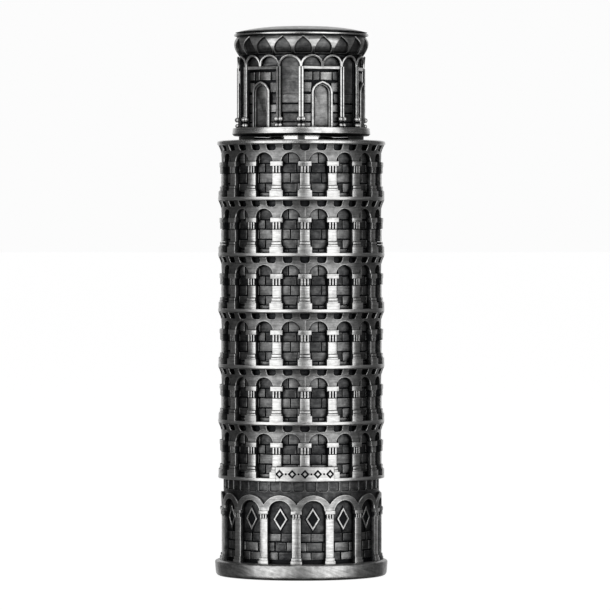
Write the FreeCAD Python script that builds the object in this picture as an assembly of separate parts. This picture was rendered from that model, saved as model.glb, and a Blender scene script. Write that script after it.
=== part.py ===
import FreeCAD, Part
import math
import os

# Souvenir bell tower of cast metal, standing upright. Ring castings are stacked round a steel tube that is
# open at its top end; the belfry is a cap that turns on its own liner and lifts off the tube with it.
# Millimetres, +Z up, origin at the centre of the foot. The front of the tower faces -Y.

V = FreeCAD.Vector
ORIGIN = V(0, 0, 0)
UP = V(0, 0, 1)

# Whole object
HEIGHT = 100.2
GALLERIES = 6
FOOT_TOP = 2.9
GROUND_TOP = 17.8
GALLERY_PITCH = 10.13
DECK_LOW = GROUND_TOP + GALLERIES * GALLERY_PITCH
DECK_TOP = 79.4
CAP_LOW = 80.22
DRUM_LOW = 81.62
CORNICE_LOW = 94.6
ROOF_LOW = 98.25
LIP_TOP = 99.0

# Radii of the outside
FOOT_R = 15.8
FOOT_DRAFT = 0.2
FOOT_EDGE = 0.8
FOOT_BEVEL = 0.25
BAND_R = 15.2
PLINTH_R = 15.15
FACE_R = 14.5
BRICK_R = 13.8
DECK_R = 15.35
DECK_FLAT_R = 13.9
CAP_RING_R = 12.62
CAP_BEVEL = 0.55
DRUM_R = 11.0
CORNICE_FOOT_R = 11.25
CORNICE_R = 12.36
CORNICE_TOP_R = 11.75
CORNICE_MID_R = 12.05
CORNICE_MID = 95.9
CORNICE_BELLY = 96.9
LIP_R = 12.28

# Fits and walls
RUNNING = 0.05
LOOSE = 0.1
PRESS = 0.02
WALL_IN_R = 11.9
DRUM_IN_R = 9.9
CUT_PAST = 1.0

# Core tube and what is on it
TUBE_R = 5.2
TUBE_BORE_R = 4.5
TUBE_LOW = 1.7
TUBE_TOP = 90.5
COLLAR_R = 5.85
COLLAR_TOP = 80.25
REST_IN_R = 9.4
REST_R = 11.4
REST_TOP = 80.1
REST_FRONT_GAP = 17.0
REST_BACK_GAP = 8.0
REST_TURN = -2.5
RING_Z = 86.0
RING_WIRE_R = 0.24
RING_SLACK = 0.01
PLUG_LENGTH = 1.5
LINER_BORE_R = 5.5
LINER_R = 6.1
LINER_LOW = 80.35
LINER_ROOF = 91.2
LINER_TOP = 91.8
FLANGE_R = 6.6
FLANGE_TOP = 80.8
CLIP_R = 6.9
CLIP_LOW = 90.4
CLIP_TOP = 90.8
CLIP_GAP = 1.6
GROOVE_DEPTH = 0.25
HUB_R = 7.3
HUB_TOP = 90.2

# Foot
PAD_R = 14.0
PAD_TOP = 0.9
PLATE_FLANGE_R = 14.1
PLATE_SPIGOT_R = 12.8
PLATE_TOP = 2.85
SCREWS = 3
SCREW_TURN = 60.0
SCREW_PITCH_R = 10.4
SCREW_R = 1.0
SCREW_HEAD_R = 1.85
SCREW_SLOT = 0.4
SCREW_TOP = 7.5
BOSS_R = 1.75
BOSS_TOP = 9.0

# Locating pegs between the castings
PEG_R = 0.6
PEG_PITCH_R = 12.9
PEG_HEIGHT = 0.5

# Gallery: (low, high, radius of the column, width of the column), heights above the gallery's own foot
GALLERY_COLUMNS = 18
GALLERY_LEVELS = [
    (0.55, 1.71, PLINTH_R, 2.48),
    (1.71, 6.08, FACE_R, 1.80),
    (6.08, 6.90, 14.83, 2.21),
]
GALLERY_FLARE = 8.75
FLARE_R = 14.45
FLARE_TOP_R = 15.15

# Ground storey, heights above the foot of the tower
GROUND_ARCHES = 15
GROUND_TURN = 6.0
GROUND_LEVELS = [
    (FOOT_TOP, 3.96, 14.95, 1.94),
    (3.96, 11.05, FACE_R, 1.49),
    (11.05, 12.43, 14.75, 1.83),
]
GROUND_HOOD_R = 14.65
GROUND_HOOD_TOP = 15.6
GROUND_HEAD_R = 14.2

# Plaque on the lowest gallery
PLAQUE_HALF_ANGLE = 20.3
PLAQUE_SPARE_ANGLE = 0.15
PLAQUE_HEIGHT = 2.65
PLAQUE_BACK_R = 14.78
PLAQUE_R = 15.22

# Belfry
BELFRY_BAYS = 6
BELFRY_TURN = 17.1
COLONNETTE_ANGLE = 19.75
COLONNETTE_R = 0.34
COLONNETTE_PITCH_R = 11.6
COLONNETTE_TOP = 92.75
BEADS = [(DRUM_LOW, 82.25, 0.70), (82.65, 83.50, 0.85)]
NICHE_HALF = 1.55
NICHE_SPRING = 92.75
NICHE_DEPTH = 0.45
NICHE_SILL = 0.3
DOOR_HALF = 1.95
DOOR_SPRING = 87.85
DOOR_LEAF_HALF = 1.2
DOOR_PROUD = 0.35
DOOR_FRAME_DEPTH = 0.3
SCALLOPS = 20
SCALLOP_HALF = 1.55
SCALLOP_LOW = 95.0
SCALLOP_SPRING = 95.7
SCALLOP_TIP = 98.15
SCALLOP_DEPTH_R = 11.0
LANCET_BULGE = (0.64, 0.65)
SPIGOT_DEPTH = 1.0


def turned(start, *steps):
    """Solid turned about Z. A step is a (radius, height) corner, or a pair (middle, end) of an arc."""
    edges = []
    here = V(start[0], 0, start[1])
    for step in steps + (start,):
        if isinstance(step[0], tuple):
            middle, end = (V(r, 0, z) for r, z in step)
            edges.append(Part.Arc(here, middle, end).toShape())
        else:
            end = V(step[0], 0, step[1])
            edges.append(Part.makeLine(here, end))
        here = end
    return Part.Face(Part.Wire(edges)).revolve(ORIGIN, UP, 360)


def brow(edge, crest):
    """Middle of the arc that rises from an outer corner and ends level at a higher, inner one."""
    run = edge[0] - crest[0]
    rise = crest[1] - edge[1]
    radius = (run ** 2 + rise ** 2) / (2 * rise)
    half_way = math.asin(run / radius) / 2
    return crest[0] + radius * math.sin(half_way), crest[1] - radius * (1 - math.cos(half_way))


def sleeve(inner, outer, low, high):
    return turned((inner, low), (outer, low), (outer, high), (inner, high))


def post(radius, low, high, pitch_r=0.0, angle=0.0):
    """Upright cylinder; angle 0 is the front of the tower and grows towards +X."""
    across = math.radians(angle)
    foot = V(pitch_r * math.sin(across), -pitch_r * math.cos(across), low)
    return Part.makeCylinder(radius, high - low, foot)


def around(shape, count, first=0.0):
    """Copies of a shape at equal turns about Z."""
    copies = []
    for k in range(count):
        copy = shape.copy()
        copy.rotate(ORIGIN, UP, first + k * 360.0 / count)
        copies.append(copy)
    return Part.makeCompound(copies)


def front_prism(edges, back_r, outer_r):
    """Outline in the XZ plane carried out through the front face, its back on a cylinder."""
    face = Part.Face(Part.Wire(edges))
    prism = face.extrude(V(0, -outer_r - CUT_PAST, 0))
    box = face.BoundBox
    return prism.cut(Part.makeCylinder(back_r, box.ZLength + 2 * CUT_PAST, V(0, 0, box.ZMin - CUT_PAST)))


def stepped_arch(levels, back_r, outer_r):
    """Bay between two columns: a half-width for each level and a round head over the last one."""
    right = []
    for low, high, half in levels:
        right.append(V(half, 0, low))
        right.append(V(half, 0, high))
    left = [V(-p.x, 0, p.z) for p in right]
    edges = [Part.makeLine(left[0], right[0])]
    for side in (right, left):
        for p, q in zip(side, side[1:]):
            if p.distanceToPoint(q) > 1e-6:
                edges.append(Part.makeLine(p, q))
    half = levels[-1][2]
    spring = levels[-1][1]
    edges.append(Part.Arc(right[-1], V(0, 0, spring + half), left[-1]).toShape())
    return front_prism(Part.__sortEdges__(edges), back_r, outer_r)


def lancet_pocket(half, low, spring, tip, back_r, outer_r):
    """Pocket with a pointed head."""
    middle = V(LANCET_BULGE[0] * half, 0, spring + LANCET_BULGE[1] * (tip - spring))
    mirrored = V(-middle.x, 0, middle.z)
    edges = [
        Part.makeLine(V(-half, 0, low), V(half, 0, low)),
        Part.makeLine(V(half, 0, low), V(half, 0, spring)),
        Part.Arc(V(half, 0, spring), middle, V(0, 0, tip)).toShape(),
        Part.Arc(V(0, 0, tip), mirrored, V(-half, 0, spring)).toShape(),
        Part.makeLine(V(-half, 0, spring), V(-half, 0, low)),
    ]
    return front_prism(edges, back_r, outer_r)


def bay_widths(levels, count):
    """Half-widths of the opening that the columns of each level leave."""
    pitch = 2 * math.pi * FACE_R / count
    return [(low, high, (pitch - width) / 2) for low, high, radius, width in levels]


def column_steps(levels):
    """Corners of the outside at each level of a colonnade."""
    corners = []
    for low, high, radius, width in levels:
        corners += [(radius, low), (radius, high)]
    return corners


def pegs(low, high, radius):
    return [post(radius, low, high, PEG_PITCH_R, angle) for angle in (90, 270)]


def felt_pad():
    return Part.makeCylinder(PAD_R, PAD_TOP)


def base_plate():
    plate = turned(
        (0, PAD_TOP),
        (PLATE_FLANGE_R, PAD_TOP),
        (PLATE_FLANGE_R, TUBE_LOW),
        (PLATE_SPIGOT_R, TUBE_LOW),
        (PLATE_SPIGOT_R, PLATE_TOP),
        (TUBE_R + RUNNING, PLATE_TOP),
        (TUBE_R + RUNNING, TUBE_LOW),
        (0, TUBE_LOW),
    )
    foot = V(0, -SCREW_PITCH_R, PAD_TOP)
    hole = Part.makeCylinder(SCREW_R + RUNNING, PLATE_TOP - PAD_TOP, foot)
    sink = Part.makeCone(SCREW_HEAD_R + RUNNING, SCREW_R + RUNNING, SCREW_HEAD_R - SCREW_R, foot)
    return plate.cut(around(hole.fuse(sink), SCREWS, SCREW_TURN))


def base_screws():
    foot = V(0, -SCREW_PITCH_R, PAD_TOP)
    shank = Part.makeCylinder(SCREW_R, SCREW_TOP - PAD_TOP, foot)
    head = Part.makeCone(SCREW_HEAD_R, SCREW_R, SCREW_HEAD_R - SCREW_R, foot)
    corner = foot - V(SCREW_HEAD_R, SCREW_SLOT / 2, 0)
    slot = Part.makeBox(2 * SCREW_HEAD_R, SCREW_SLOT, SCREW_SLOT, corner)
    return around(shank.fuse(head).cut(slot), SCREWS, SCREW_TURN)


def base_ring():
    edge = FOOT_EDGE
    corner = FOOT_R - FOOT_DRAFT
    sag = edge * (1 - math.cos(math.radians(45)))
    return turned(
        (PLATE_FLANGE_R + LOOSE, 0),
        (corner - edge, 0),
        ((corner - sag, sag), (corner, edge)),
        (FOOT_R, FOOT_TOP - FOOT_BEVEL),
        (BAND_R, FOOT_TOP),
        (PLATE_SPIGOT_R + LOOSE, FOOT_TOP),
        (PLATE_SPIGOT_R + LOOSE, TUBE_LOW),
        (PLATE_FLANGE_R + LOOSE, TUBE_LOW),
    )


def ground_storey():
    shell = turned(
        (WALL_IN_R, FOOT_TOP),
        *column_steps(GROUND_LEVELS),
        (GROUND_HOOD_R, GROUND_LEVELS[-1][1]),
        (GROUND_HOOD_R, GROUND_HOOD_TOP),
        (GROUND_HEAD_R, GROUND_HOOD_TOP),
        (GROUND_HEAD_R, GROUND_TOP),
        (WALL_IN_R, GROUND_TOP),
    )
    bay = stepped_arch(bay_widths(GROUND_LEVELS, GROUND_ARCHES), BRICK_R, FOOT_R)
    shell = shell.cut(around(bay, GROUND_ARCHES, GROUND_TURN))
    boss = post(BOSS_R, FOOT_TOP, BOSS_TOP, SCREW_PITCH_R)
    hole = post(SCREW_R + PRESS, FOOT_TOP, SCREW_TOP + SCREW_SLOT, SCREW_PITCH_R)
    shell = shell.fuse(around(boss, SCREWS, SCREW_TURN).Solids)
    shell = shell.fuse(pegs(GROUND_TOP, GROUND_TOP + PEG_HEIGHT, PEG_R))
    return shell.cut(around(hole, SCREWS, SCREW_TURN))


def gallery_casting():
    """One arcade storey: a ring with its pegs in the storey above."""
    shell = turned(
        (WALL_IN_R, 0),
        (BAND_R, 0),
        (BAND_R, GALLERY_LEVELS[0][0]),
        *column_steps(GALLERY_LEVELS),
        (FACE_R, GALLERY_LEVELS[-1][1]),
        (FLARE_R, GALLERY_FLARE),
        (FLARE_TOP_R, GALLERY_PITCH),
        (WALL_IN_R, GALLERY_PITCH),
    )
    bay = stepped_arch(bay_widths(GALLERY_LEVELS, GALLERY_COLUMNS), BRICK_R, FOOT_R)
    shell = shell.cut(around(bay, GALLERY_COLUMNS, 180.0 / GALLERY_COLUMNS))
    shell = shell.cut(Part.makeCompound(pegs(0, PEG_HEIGHT + LOOSE, PEG_R + RUNNING)))
    return shell.fuse(pegs(GALLERY_PITCH, GALLERY_PITCH + PEG_HEIGHT, PEG_R))


def plaque_seat():
    """What the lowest gallery leaves out for its plaque."""
    return plaque_blank(PLAQUE_BACK_R - PRESS, FOOT_R, PLAQUE_HALF_ANGLE + PLAQUE_SPARE_ANGLE, RUNNING)


def plaque_blank(inner, outer, half_angle, spare):
    """Curved plate centred on the front, its foot at height 0."""
    start = math.radians(-90.0 - half_angle)
    corners = [V(inner * math.cos(start), inner * math.sin(start), -spare)]
    corners.append(V(outer * math.cos(start), outer * math.sin(start), -spare))
    height = PLAQUE_HEIGHT + 2 * spare
    corners.append(corners[1] + V(0, 0, height))
    corners.append(corners[0] + V(0, 0, height))
    face = Part.Face(Part.makePolygon(corners + corners[:1]))
    return face.revolve(ORIGIN, UP, 2 * half_angle)


def front_plaque():
    plate = plaque_blank(PLAQUE_BACK_R, PLAQUE_R, PLAQUE_HALF_ANGLE, 0.0)
    plate.translate(V(0, 0, GROUND_TOP))
    return plate


def top_deck():
    edge = (DECK_R, DECK_LOW)
    flat = (DECK_FLAT_R, DECK_TOP)
    deck = turned(
        (TUBE_R + RUNNING, DECK_LOW),
        edge,
        (brow(edge, flat), flat),
        (TUBE_R + RUNNING, DECK_TOP),
    )
    return deck.cut(Part.makeCompound(pegs(DECK_LOW, DECK_LOW + PEG_HEIGHT + RUNNING, PEG_R + RUNNING)))


def core_tube():
    tube = sleeve(TUBE_BORE_R, TUBE_R, TUBE_LOW, TUBE_TOP)
    return tube.cut(Part.makeTorus(TUBE_R, RING_WIRE_R + RING_SLACK, V(0, 0, RING_Z)))


def tube_plug():
    return Part.makeCylinder(TUBE_BORE_R - PRESS, PLUG_LENGTH, V(0, 0, TUBE_LOW))


def neck_collar():
    return sleeve(TUBE_R + PRESS, COLLAR_R, DECK_TOP, COLLAR_TOP)


def rest_pads():
    """Two arcs on the deck, just under the cap, that keep it from knocking against the deck."""
    ring = sleeve(REST_IN_R, REST_R, DECK_TOP, REST_TOP)
    reach = REST_R + CUT_PAST
    front = Part.makeBox(REST_FRONT_GAP, reach, HEIGHT, V(-REST_FRONT_GAP / 2, -reach, 0))
    back = Part.makeBox(REST_BACK_GAP, reach, HEIGHT, V(-REST_BACK_GAP / 2, 0, 0))
    gaps = Part.makeCompound([front, back])
    gaps.rotate(ORIGIN, UP, REST_TURN)
    return ring.cut(gaps)


def grip_ring():
    return Part.makeTorus(TUBE_R, RING_WIRE_R, V(0, 0, RING_Z))


def cap_liner():
    groove_r = LINER_R - GROOVE_DEPTH
    return turned(
        (LINER_BORE_R, LINER_LOW),
        (FLANGE_R, LINER_LOW),
        (FLANGE_R, FLANGE_TOP),
        (LINER_R, FLANGE_TOP),
        (LINER_R, CLIP_LOW - RUNNING),
        (groove_r, CLIP_LOW - RUNNING),
        (groove_r, CLIP_TOP + RUNNING),
        (LINER_R, CLIP_TOP + RUNNING),
        (LINER_R, LINER_TOP),
        (0, LINER_TOP),
        (0, LINER_ROOF),
        (LINER_BORE_R, LINER_ROOF),
    )


def liner_clip():
    ring = sleeve(LINER_R - GROOVE_DEPTH + PRESS, CLIP_R, CLIP_LOW, CLIP_TOP)
    gap = Part.makeBox(CLIP_GAP, CLIP_R + CUT_PAST, HEIGHT, V(-CLIP_GAP / 2, 0, 0))
    return ring.cut(gap)


def belfry_floor():
    bore = LINER_R + RUNNING
    sink_r = FLANGE_R + LOOSE + RUNNING
    return turned(
        (sink_r, CAP_LOW),
        (CAP_RING_R - CAP_BEVEL, CAP_LOW),
        (CAP_RING_R, CAP_LOW + CAP_BEVEL),
        (CAP_RING_R, DRUM_LOW),
        (HUB_R, DRUM_LOW),
        (HUB_R, HUB_TOP),
        (bore, HUB_TOP),
        (bore, FLANGE_TOP + LOOSE),
        (sink_r, FLANGE_TOP + LOOSE),
    )


def belfry_drum():
    drum = sleeve(DRUM_IN_R, DRUM_R, DRUM_LOW, CORNICE_LOW)
    niche_levels = [(DRUM_LOW + NICHE_SILL, NICHE_SPRING, NICHE_HALF)]
    niche = stepped_arch(niche_levels, DRUM_R - NICHE_DEPTH, CAP_RING_R)
    drum = drum.cut(around(niche, BELFRY_BAYS, BELFRY_TURN + 180.0 / BELFRY_BAYS))
    door = stepped_arch([(DRUM_LOW, DOOR_SPRING, DOOR_HALF)], DRUM_R - DOOR_FRAME_DEPTH, CAP_RING_R)
    leaf = stepped_arch([(DRUM_LOW, DOOR_SPRING, DOOR_LEAF_HALF)], DRUM_R - RUNNING, CAP_RING_R)
    frame = door.common(Part.makeCylinder(DRUM_R + DOOR_PROUD, HEIGHT)).cut(leaf)
    parts = list(around(frame, BELFRY_BAYS, BELFRY_TURN).Solids)
    column = post(COLONNETTE_R, DRUM_LOW, COLONNETTE_TOP, COLONNETTE_PITCH_R)
    backing = Part.makeBox(
        2 * COLONNETTE_R,
        COLONNETTE_PITCH_R - DRUM_R + DOOR_FRAME_DEPTH,
        COLONNETTE_TOP - DRUM_LOW,
        V(-COLONNETTE_R, -COLONNETTE_PITCH_R, DRUM_LOW),
    )
    column = column.fuse(backing)
    for low, high, radius in BEADS:
        column = column.fuse(post(radius, low, high, COLONNETTE_PITCH_R))
    for side in (-1, 1):
        first = BELFRY_TURN + side * COLONNETTE_ANGLE
        parts += around(column, BELFRY_BAYS, first).Solids
    return drum.fuse(parts).cut(Part.makeCylinder(DRUM_IN_R, HEIGHT))


def belfry_cornice():
    cornice = turned(
        (DRUM_IN_R, CORNICE_LOW),
        (CORNICE_FOOT_R, CORNICE_LOW),
        ((CORNICE_MID_R, CORNICE_MID), (CORNICE_R, CORNICE_BELLY)),
        (CORNICE_TOP_R, ROOF_LOW),
        (DRUM_IN_R, ROOF_LOW),
    )
    scallop = lancet_pocket(
        SCALLOP_HALF, SCALLOP_LOW, SCALLOP_SPRING, SCALLOP_TIP, SCALLOP_DEPTH_R, CAP_RING_R
    )
    return cornice.cut(around(scallop, SCALLOPS, BELFRY_TURN))


def belfry_roof():
    spigot = DRUM_IN_R - RUNNING
    edge = (LIP_R, LIP_TOP)
    apex = (0, HEIGHT)
    return turned(
        (0, ROOF_LOW - SPIGOT_DEPTH),
        (spigot, ROOF_LOW - SPIGOT_DEPTH),
        (spigot, ROOF_LOW),
        (LIP_R, ROOF_LOW),
        edge,
        (brow(edge, apex), apex),
    )


def save(name, shape):
    if not shape.isValid():
        raise ValueError(name + " is not a valid shape")
    shape.exportStep("parts/" + name + ".step")
    print("%-16s solids %d  volume %9.2f" % (name, len(shape.Solids), shape.Volume))


os.makedirs("parts", exist_ok=True)
PIECES = [
    felt_pad,
    base_plate,
    base_screws,
    base_ring,
    ground_storey,
    front_plaque,
    top_deck,
    core_tube,
    tube_plug,
    neck_collar,
    rest_pads,
    grip_ring,
    cap_liner,
    liner_clip,
    belfry_floor,
    belfry_drum,
    belfry_cornice,
    belfry_roof,
]
for piece in PIECES:
    save(piece.__name__, piece())
casting = gallery_casting()
for storey in range(GALLERIES):
    placed = casting.cut(plaque_seat()) if storey == 0 else casting.copy()
    placed.translate(V(0, 0, GROUND_TOP + storey * GALLERY_PITCH))
    save("gallery_%d" % (storey + 1), placed)
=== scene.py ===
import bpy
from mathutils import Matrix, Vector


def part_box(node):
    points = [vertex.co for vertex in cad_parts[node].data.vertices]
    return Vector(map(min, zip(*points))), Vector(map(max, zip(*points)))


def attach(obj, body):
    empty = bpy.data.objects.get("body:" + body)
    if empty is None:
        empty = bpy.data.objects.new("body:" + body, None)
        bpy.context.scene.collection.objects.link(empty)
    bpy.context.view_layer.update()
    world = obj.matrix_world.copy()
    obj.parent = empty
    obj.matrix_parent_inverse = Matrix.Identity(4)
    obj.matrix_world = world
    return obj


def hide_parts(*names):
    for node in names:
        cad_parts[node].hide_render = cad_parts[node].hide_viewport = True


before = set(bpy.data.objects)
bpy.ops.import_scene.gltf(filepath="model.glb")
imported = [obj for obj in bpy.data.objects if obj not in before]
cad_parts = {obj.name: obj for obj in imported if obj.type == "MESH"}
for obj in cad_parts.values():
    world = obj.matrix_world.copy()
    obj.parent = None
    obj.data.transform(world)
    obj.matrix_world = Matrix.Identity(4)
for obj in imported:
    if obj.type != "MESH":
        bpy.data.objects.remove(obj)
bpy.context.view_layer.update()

import math
import random

import bmesh
import bpy
from mathutils import Matrix, Vector
from mathutils.geometry import delaunay_2d_cdt

bl_info = {
    "name": "Souvenir Bell Tower",
    "version": (1, 0, 0),
    "blender": (4, 5, 0),
    "location": "3D View > Sidebar > Tower",
    "description": "Antiqued metal castings of a miniature bell tower, built around its CAD frame",
    "category": "Object",
}

MM = 0.001


def low(node):
    """Lowest point of a CAD node, in millimetres."""
    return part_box(node)[0].z / MM


def high(node):
    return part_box(node)[1].z / MM


def reach(node):
    """Outer radius of a CAD node, in millimetres."""
    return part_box(node)[1].x / MM


# Heights and radii that the frame gives, in millimetres
FOOT_R = reach("base_ring")
FOOT_TOP = high("base_ring")
GROUND_TOP = low("gallery_1")
PITCH = low("gallery_2") - low("gallery_1")
BAND_R = reach("gallery_2")
DECK_LOW = low("top_deck")
DECK_TOP = high("top_deck")
DECK_R = reach("top_deck")
CAP_LOW = low("belfry_floor")
HUB_TOP = high("belfry_floor")
CAP_RING_R = reach("belfry_floor")
DRUM_LOW = low("belfry_drum")
CORNICE_LOW = low("belfry_cornice")
ROOF_LOW = high("belfry_cornice")
ROOF_TOP = high("belfry_roof")
SPIGOT_LOW = low("belfry_roof")
LIP_R = reach("belfry_roof")
TUBE_R = reach("core_tube")

# Foot ring and belfry floor: bores, and the steps inside them
FOOT_BORE_R = 12.9
FOOT_PLATE_R = 14.2
FOOT_PLATE_TOP = 1.7
HUB_BORE_R = 6.15
HUB_MOUTH_R = 6.75
HUB_R = 7.3

# Castings of the body
WALL_IN_R = 11.9
JOINT_R = 13.62
BRICK_R = 13.92
FACE_R = 14.62
ROOT_R = JOINT_R - 0.1
BAND_ROOT_R = JOINT_R - 0.2
# Width of the bright line along a rim, and its wear
RUBBED = 0.07
RIM_WEAR = 1.15
GALLERY_COLUMNS = 18
GALLERY_SPRING = 6.9
GALLERY_ARCH_MID = 6.76
GALLERY_ARCH_R = 1.76
GALLERY_PLATE_TOP = 8.72
POCKETS = 30
POCKET_WIDTH = 1.72
POCKET_LOW = 8.92
POCKET_HIGH = 9.98
POCKET_FLOOR_R = 14.0
PLATE_WEAR = 0.64
GROUND_WEAR = 0.34
ARCH_STEPS = 18
BAND_HIGH = 0.6

# (low, high, width, radius) of the blocks that make a gallery column, above the gallery's own foot
GALLERY_COLUMN = [
    (0.30, 1.71, 2.48, BAND_R - 0.02),
    (1.60, 2.02, 1.98, 15.0),
    (2.08, 2.56, 1.80, 14.95),
    (2.62, 4.80, 1.70, 14.72),
    (6.08, 6.94, 2.30, 15.0),
]
GALLERY_FLUTES = (4.90, 6.12, 1.80, 14.93)
GALLERY_COURSES = [(0.62, 1.22), (1.42, 2.90), (3.12, 4.78), (4.98, 6.43), (6.64, 8.60)]

# Ground storey, heights above the foot of the tower
GROUND_ARCHES = 15
GROUND_TURN = 6.0
GROUND_SPRING = 12.43
GROUND_ARCH_R = 2.14
GROUND_ARCH_MID = 12.16
HOOD_R = 3.57
HOOD_MID = 11.77
HOOD_FACE_R = 14.7
GROUND_FACE_R = 14.2
GROUND_PLATE_TOP = 15.62
PANELS = 40
PANEL_WIDTH = 1.86
PANEL_LOW = 15.98
GROUND_COLUMN = [
    (FOOT_TOP - 0.2, 3.46, 1.98, 15.02),
    (3.40, 3.98, 1.76, 14.90),
    (3.80, 11.20, 1.52, 14.72),
    (11.84, 12.47, 1.90, 14.98),
]
GROUND_FLUTES = (11.02, 11.88, 1.62, 14.90)
GROUND_COURSES = [(3.62, 4.93), (5.20, 6.70), (6.95, 8.32)]
DIAMOND_MID = 10.96
DIAMOND_HALF_WIDTH = 1.36
DIAMOND_HALF_HEIGHT = 2.08
DIAMOND_FRAME = 0.34
DIAMOND_FIELD_R = 13.92
DIAMOND_BACK_R = 13.7
DIAMOND_FACE_R = 14.14
PANEL_BACK_R = 13.86
PANEL_BACK_LOW = 8.45
PANEL_BACK_HIGH = 14.6

# Belfry
BELFRY_TURN = 17.1
BAYS = 6
COLONNETTE_ANGLE = 19.75
DRUM_IN_R = 9.9
DRUM_JOINT_R = 10.5
DRUM_BRICK_R = 11.1
DRUM_FACE_R = 11.2
DRUM_BACK_R = DRUM_JOINT_R - 0.1
DRUM_BAY_R = 10.75
SHAFT_R = 11.66
BALL_R = 11.8
MOULDING_R = 11.54
MOULDING = 0.42
# Offset of a colonnette from the middle of its pair, and how bright the rods and balls are rubbed
TWIN = 0.25
ROD_WEAR = 1.2
LINTEL_R = 11.55
LUNETTE_R = 11.05
DOOR_LEAF_R = 10.95
# (outer and inner edge inwards from the door's half width, radius, wear) of the mouldings round the leaf
DOOR_MOULDINGS = ((0.0, 0.38, 11.55, 1.0), (0.5, 0.7, 11.35, 0.85))
SHAFT_LOW = DRUM_LOW + 1.7
SHAFT_TOP = DRUM_LOW + 10.92
LINTEL_LOW = DRUM_LOW + 10.41
LINTEL_HIGH = DRUM_LOW + 11.07
DOOR_SPRING = DRUM_LOW + 6.2
DOOR_HALF = 1.97
NICHE_LOW = DRUM_LOW + 6.0
NICHE_R = 10.72
NICHE_HOLLOW = 0.3
BELFRY_COURSES = [(0.12, 0.82), (1.06, 2.46), (2.76, 4.08), (4.38, 5.94), (6.38, 8.04), (8.5, 9.96)]
BELFRY_BRICK = 0.62
SCALLOPS = 20
SCALLOP_HALF = 1.64
CORNICE_FOOT_R = 11.25
CORNICE_R = reach("belfry_cornice")
CORNICE_TOP_R = 11.75
LIP_LOW = ROOF_LOW + 0.18
LIP_TOP = ROOF_LOW + 0.5
DOME_LOW = ROOF_LOW + 0.8

# Plaque
PLAQUE_PROUD = 0.12
PLAQUE_BACK_R = 14.62
PLAQUE_HALF_ANGLE = 20.4
PLAQUE_EDGE = 0.1
ENGRAVING = 0.13
MARK_PITCH = 2.3

# Studio, in metres and degrees
FLOOR_SIZE = 40.0
HEADING = math.radians(-2.5)
AIM = Vector((0.00068, 0, 0.04934))
CAMERA_AWAY = 0.815
CAMERA_HEIGHT = 0.0614
LENS = 263.0
SENSOR = 36.0


def linear(hex_colour):
    """Linear RGB from an sRGB hex value."""
    parts = [int(hex_colour[i : i + 2], 16) / 255 for i in (1, 3, 5)]
    return tuple(p / 12.92 if p <= 0.04045 else ((p + 0.055) / 1.055) ** 2.4 for p in parts)


def colour_property(name, description, hex_colour):
    return bpy.props.FloatVectorProperty(
        name=name, description=description, subtype="COLOR", default=linear(hex_colour)
    )


class TowerSizes(bpy.types.PropertyGroup):
    """Sizes of the relief, in millimetres"""

    edge: bpy.props.FloatProperty(
        name="Edge", description="Rounding along the raised edges, in mm", default=0.08, min=0.02, max=0.2
    )
    joint: bpy.props.FloatProperty(
        name="Joint", description="Width of the joints between bricks, in mm", default=0.24, min=0.1, max=0.4
    )
    brick: bpy.props.FloatProperty(
        name="Brick", description="Usual length of a brick, in mm", default=2.9, min=1.5, max=5.0
    )
    unevenness: bpy.props.FloatProperty(
        name="Unevenness", description="How far the bricks differ in depth, in mm", default=0.05, max=0.1
    )
    seed: bpy.props.IntProperty(name="Seed", description="Seed of the brick pattern", default=7)


class TowerFinish(bpy.types.PropertyGroup):
    """Colours of the finishes"""

    silver: colour_property("Silver", "Metal where it is brushed bright", "#DBDBDA")
    patina: colour_property("Patina", "Metal where the dark plating stays", "#242527")
    steel: colour_property("Steel", "Polished steel of the neck", "#DEDEDC")
    zinc: colour_property("Zinc", "Plated steel of the hidden parts", "#9A9B9A")
    felt: colour_property("Felt", "Pad under the foot", "#1C1C1F")
    rubber: colour_property("Rubber", "Grip ring and rest pads", "#131313")
    paper: colour_property("Paper", "Floor and backdrop", "#FCFCFC")


# ---------------------------------------------------------------- mesh helpers


def value(setting, first, second):
    """A number as it is, or a function's result at a place."""
    return setting(first, second) if callable(setting) else setting


def at(outline, radius, wear_and_shade):
    """Corners of a flat outline at a radius and a wear, each a number or a function of (along, height)."""
    return [(s, h, value(radius, s, h), value(wear_and_shade, s, h)) for s, h in outline]


def rectangle(left, right, bottom, top):
    return [(left, bottom), (right, bottom), (right, top), (left, top)]


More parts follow.
